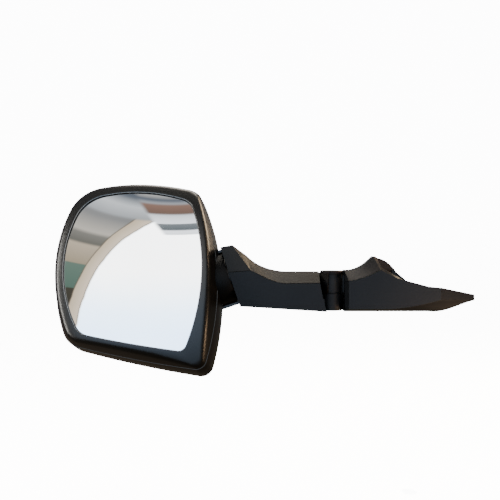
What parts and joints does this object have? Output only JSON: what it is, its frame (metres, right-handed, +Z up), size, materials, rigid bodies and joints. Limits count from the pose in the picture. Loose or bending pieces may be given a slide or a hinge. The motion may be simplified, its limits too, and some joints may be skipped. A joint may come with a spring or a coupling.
{
  "type": "side mirror",
  "caption": "Convex mirror head with a slanted swivel on a folding two-part arm with a tapering base shell",
  "frame": {"origin": "middle of the bolt pair on the base bracket's pad, in the plane of the pad", "axes": "+X along the arm from the mirror head to the base, +Y from the glass to the housing's back, +Z up"},
  "size_m": [0.55, 0.1366, 0.2507],
  "materials": {
    "mirror_glass": "polished convex mirror",
    "adhesive_foam": "soft foam",
    "inner_plastic": "moulded, plain",
    "black_plastic": "fine grained, matt",
    "black_casting": "satin black coating",
    "cast_metal": "die cast",
    "zinc_steel": "zinc plated",
    "spring_steel": "oiled spring steel"
  },
  "bodies": {
    "base": {"base_bracket": "black_casting", "base_upper_cover": "black_plastic", "base_lower_cover": "black_plastic", "hinge_cap": "black_plastic", "base_cover_screws": "zinc_steel"},
    "arm": {"arm_core": "black_casting", "arm_upper_cover": "black_plastic", "arm_lower_cover": "black_plastic", "arm_cover_screws": "zinc_steel", "hinge_pin": "zinc_steel", "hinge_thrust_washer": "inner_plastic", "hinge_spring": "spring_steel", "hinge_spring_plate": "zinc_steel", "hinge_nut": "zinc_steel", "swivel_collar": "black_plastic", "swivel_bolt": "zinc_steel", "swivel_nut": "zinc_steel", "swivel_spring_plate": "zinc_steel", "swivel_spring": "spring_steel"},
    "head": {"mirror_glass": "mirror_glass", "adhesive_pad": "adhesive_foam", "glass_carrier": "inner_plastic", "front_bezel": "black_plastic", "rear_housing": "black_plastic", "carrier_screws": "zinc_steel", "bracket_screws": "zinc_steel", "head_bracket": "cast_metal", "swivel_friction_washer": "inner_plastic"}
  },
  "joints": [
    {"name": "arm_fold", "type": "hinge", "parent": "base", "child": "arm", "pos_m": [-0.104, 0, -0.013], "axis": [0, 0, 1], "range_deg": [-70, 70]},
    {"name": "head_swivel", "type": "hinge", "parent": "arm", "child": "head", "pos_m": [-0.238, 0, 0.0067], "axis": [0.9483, 0, 0.3173], "range_deg": [-30, 30]}
  ]
}
